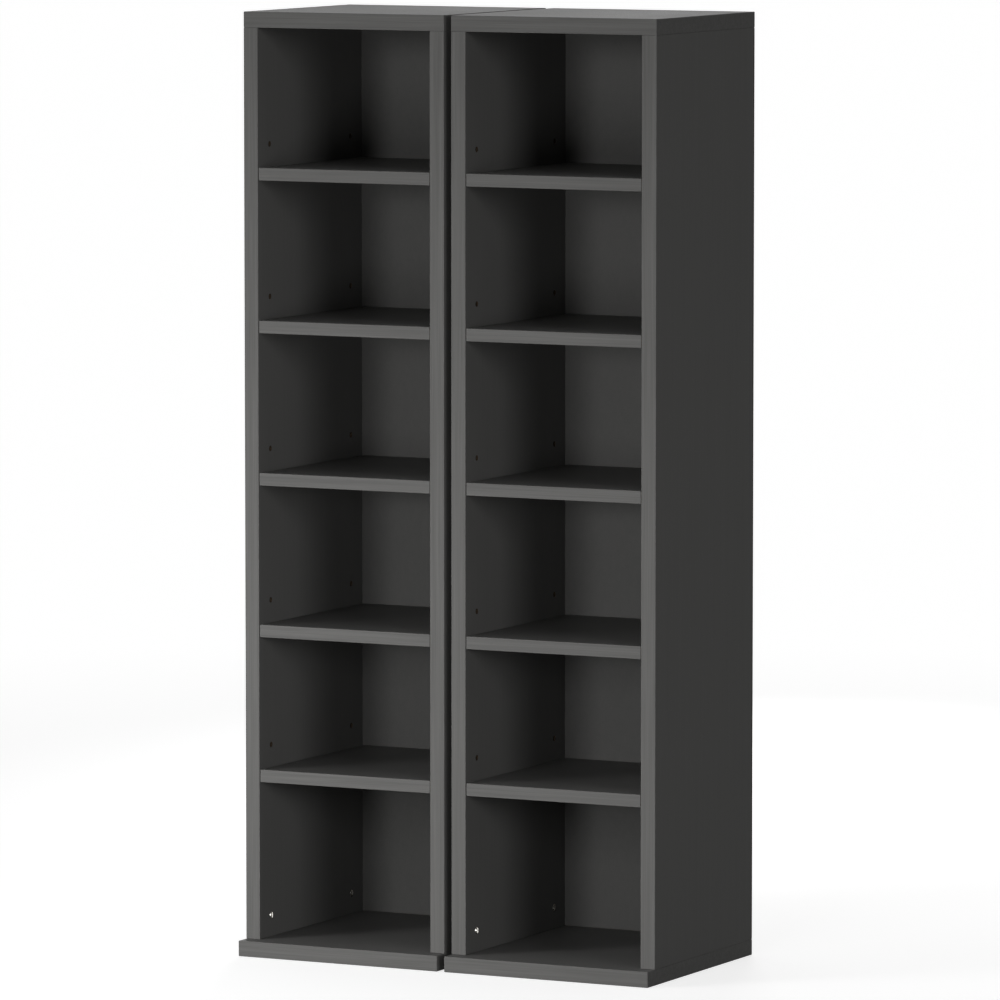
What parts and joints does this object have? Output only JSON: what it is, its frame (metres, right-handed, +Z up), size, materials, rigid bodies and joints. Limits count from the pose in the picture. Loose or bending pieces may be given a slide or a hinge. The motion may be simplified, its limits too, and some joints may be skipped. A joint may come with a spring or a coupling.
{
  "type": "cd and dvd storage tower",
  "caption": "Narrow free-standing storage towers side by side, each a grey board carcass with a projecting base, a thin back and open bays whose shelves draw forward off hidden pins.",
  "frame": {"origin": "on the floor, at the middle of the box round both towers", "axes": "+Z up; the open fronts face -Y; +X to the right seen from the front"},
  "size_m": [0.4334, 0.2294, 0.9],
  "materials": {
    "grey_board": "dark grey melamine on particle board, satin, with faint grain",
    "grey_back_board": "dark grey painted hardboard, satin",
    "nickel": "nickel plated steel"
  },
  "bodies": {
    "left_tower": {"left_tower_base": "grey_board", "left_tower_top": "grey_board", "left_tower_left_side": "grey_board", "left_tower_right_side": "grey_board", "left_tower_back": "grey_back_board", "left_tower_shelf_1_pin_front_left": "nickel", "left_tower_shelf_1_pin_front_right": "nickel", "left_tower_shelf_1_pin_rear_left": "nickel", "left_tower_shelf_1_pin_rear_right": "nickel", "left_tower_shelf_2_pin_front_left": "nickel", "left_tower_shelf_2_pin_front_right": "nickel", "left_tower_shelf_2_pin_rear_left": "nickel", "left_tower_shelf_2_pin_rear_right": "nickel", "left_tower_shelf_3_pin_front_left": "nickel", "left_tower_shelf_3_pin_front_right": "nickel", "left_tower_shelf_3_pin_rear_left": "nickel", "left_tower_shelf_3_pin_rear_right": "nickel", "left_tower_shelf_4_pin_front_left": "nickel", "left_tower_shelf_4_pin_front_right": "nickel", "left_tower_shelf_4_pin_rear_left": "nickel", "left_tower_shelf_4_pin_rear_right": "nickel", "left_tower_shelf_5_pin_front_left": "nickel", "left_tower_shelf_5_pin_front_right": "nickel", "left_tower_shelf_5_pin_rear_left": "nickel", "left_tower_shelf_5_pin_rear_right": "nickel"},
    "left_tower_shelf_1_body": {"left_tower_shelf_1": "grey_board"},
    "left_tower_shelf_2_body": {"left_tower_shelf_2": "grey_board"},
    "left_tower_shelf_3_body": {"left_tower_shelf_3": "grey_board"},
    "left_tower_shelf_4_body": {"left_tower_shelf_4": "grey_board"},
    "left_tower_shelf_5_body": {"left_tower_shelf_5": "grey_board"},
    "right_tower": {"right_tower_base": "grey_board", "right_tower_top": "grey_board", "right_tower_left_side": "grey_board", "right_tower_right_side": "grey_board", "right_tower_back": "grey_back_board", "right_tower_shelf_1_pin_front_left": "nickel", "right_tower_shelf_1_pin_front_right": "nickel", "right_tower_shelf_1_pin_rear_left": "nickel", "right_tower_shelf_1_pin_rear_right": "nickel", "right_tower_shelf_2_pin_front_left": "nickel", "right_tower_shelf_2_pin_front_right": "nickel", "right_tower_shelf_2_pin_rear_left": "nickel", "right_tower_shelf_2_pin_rear_right": "nickel", "right_tower_shelf_3_pin_front_left": "nickel", "right_tower_shelf_3_pin_front_right": "nickel", "right_tower_shelf_3_pin_rear_left": "nickel", "right_tower_shelf_3_pin_rear_right": "nickel", "right_tower_shelf_4_pin_front_left": "nickel", "right_tower_shelf_4_pin_front_right": "nickel", "right_tower_shelf_4_pin_rear_left": "nickel", "right_tower_shelf_4_pin_rear_right": "nickel", "right_tower_shelf_5_pin_front_left": "nickel", "right_tower_shelf_5_pin_front_right": "nickel", "right_tower_shelf_5_pin_rear_left": "nickel", "right_tower_shelf_5_pin_rear_right": "nickel"},
    "right_tower_shelf_1_body": {"right_tower_shelf_1": "grey_board"},
    "right_tower_shelf_2_body": {"right_tower_shelf_2": "grey_board"},
    "right_tower_shelf_3_body": {"right_tower_shelf_3": "grey_board"},
    "right_tower_shelf_4_body": {"right_tower_shelf_4": "grey_board"},
    "right_tower_shelf_5_body": {"right_tower_shelf_5": "grey_board"}
  },
  "joints": [
    {"name": "left_tower_shelf_1_slide", "type": "slide", "parent": "left_tower", "child": "left_tower_shelf_1_body", "axis": [0, -1, 0], "range_m": [0, 0.226]},
    {"name": "left_tower_shelf_2_slide", "type": "slide", "parent": "left_tower", "child": "left_tower_shelf_2_body", "axis": [0, -1, 0], "range_m": [0, 0.226]},
    {"name": "left_tower_shelf_3_slide", "type": "slide", "parent": "left_tower", "child": "left_tower_shelf_3_body", "axis": [0, -1, 0], "range_m": [0, 0.226]},
    {"name": "left_tower_shelf_4_slide", "type": "slide", "parent": "left_tower", "child": "left_tower_shelf_4_body", "axis": [0, -1, 0], "range_m": [0, 0.226]},
    {"name": "left_tower_shelf_5_slide", "type": "slide", "parent": "left_tower", "child": "left_tower_shelf_5_body", "axis": [0, -1, 0], "range_m": [0, 0.226]},
    {"name": "right_tower_shelf_1_slide", "type": "slide", "parent": "right_tower", "child": "right_tower_shelf_1_body", "axis": [0, -1, 0], "range_m": [0, 0.226]},
    {"name": "right_tower_shelf_2_slide", "type": "slide", "parent": "right_tower", "child": "right_tower_shelf_2_body", "axis": [0, -1, 0], "range_m": [0, 0.226]},
    {"name": "right_tower_shelf_3_slide", "type": "slide", "parent": "right_tower", "child": "right_tower_shelf_3_body", "axis": [0, -1, 0], "range_m": [0, 0.226]},
    {"name": "right_tower_shelf_4_slide", "type": "slide", "parent": "right_tower", "child": "right_tower_shelf_4_body", "axis": [0, -1, 0], "range_m": [0, 0.226]},
    {"name": "right_tower_shelf_5_slide", "type": "slide", "parent": "right_tower", "child": "right_tower_shelf_5_body", "axis": [0, -1, 0], "range_m": [0, 0.226]},
    {"name": "right_tower_slide", "type": "slide", "parent": "left_tower", "child": "right_tower", "axis": [1, 0, 0], "range_m": [-0.007, 0.25]}
  ]
}
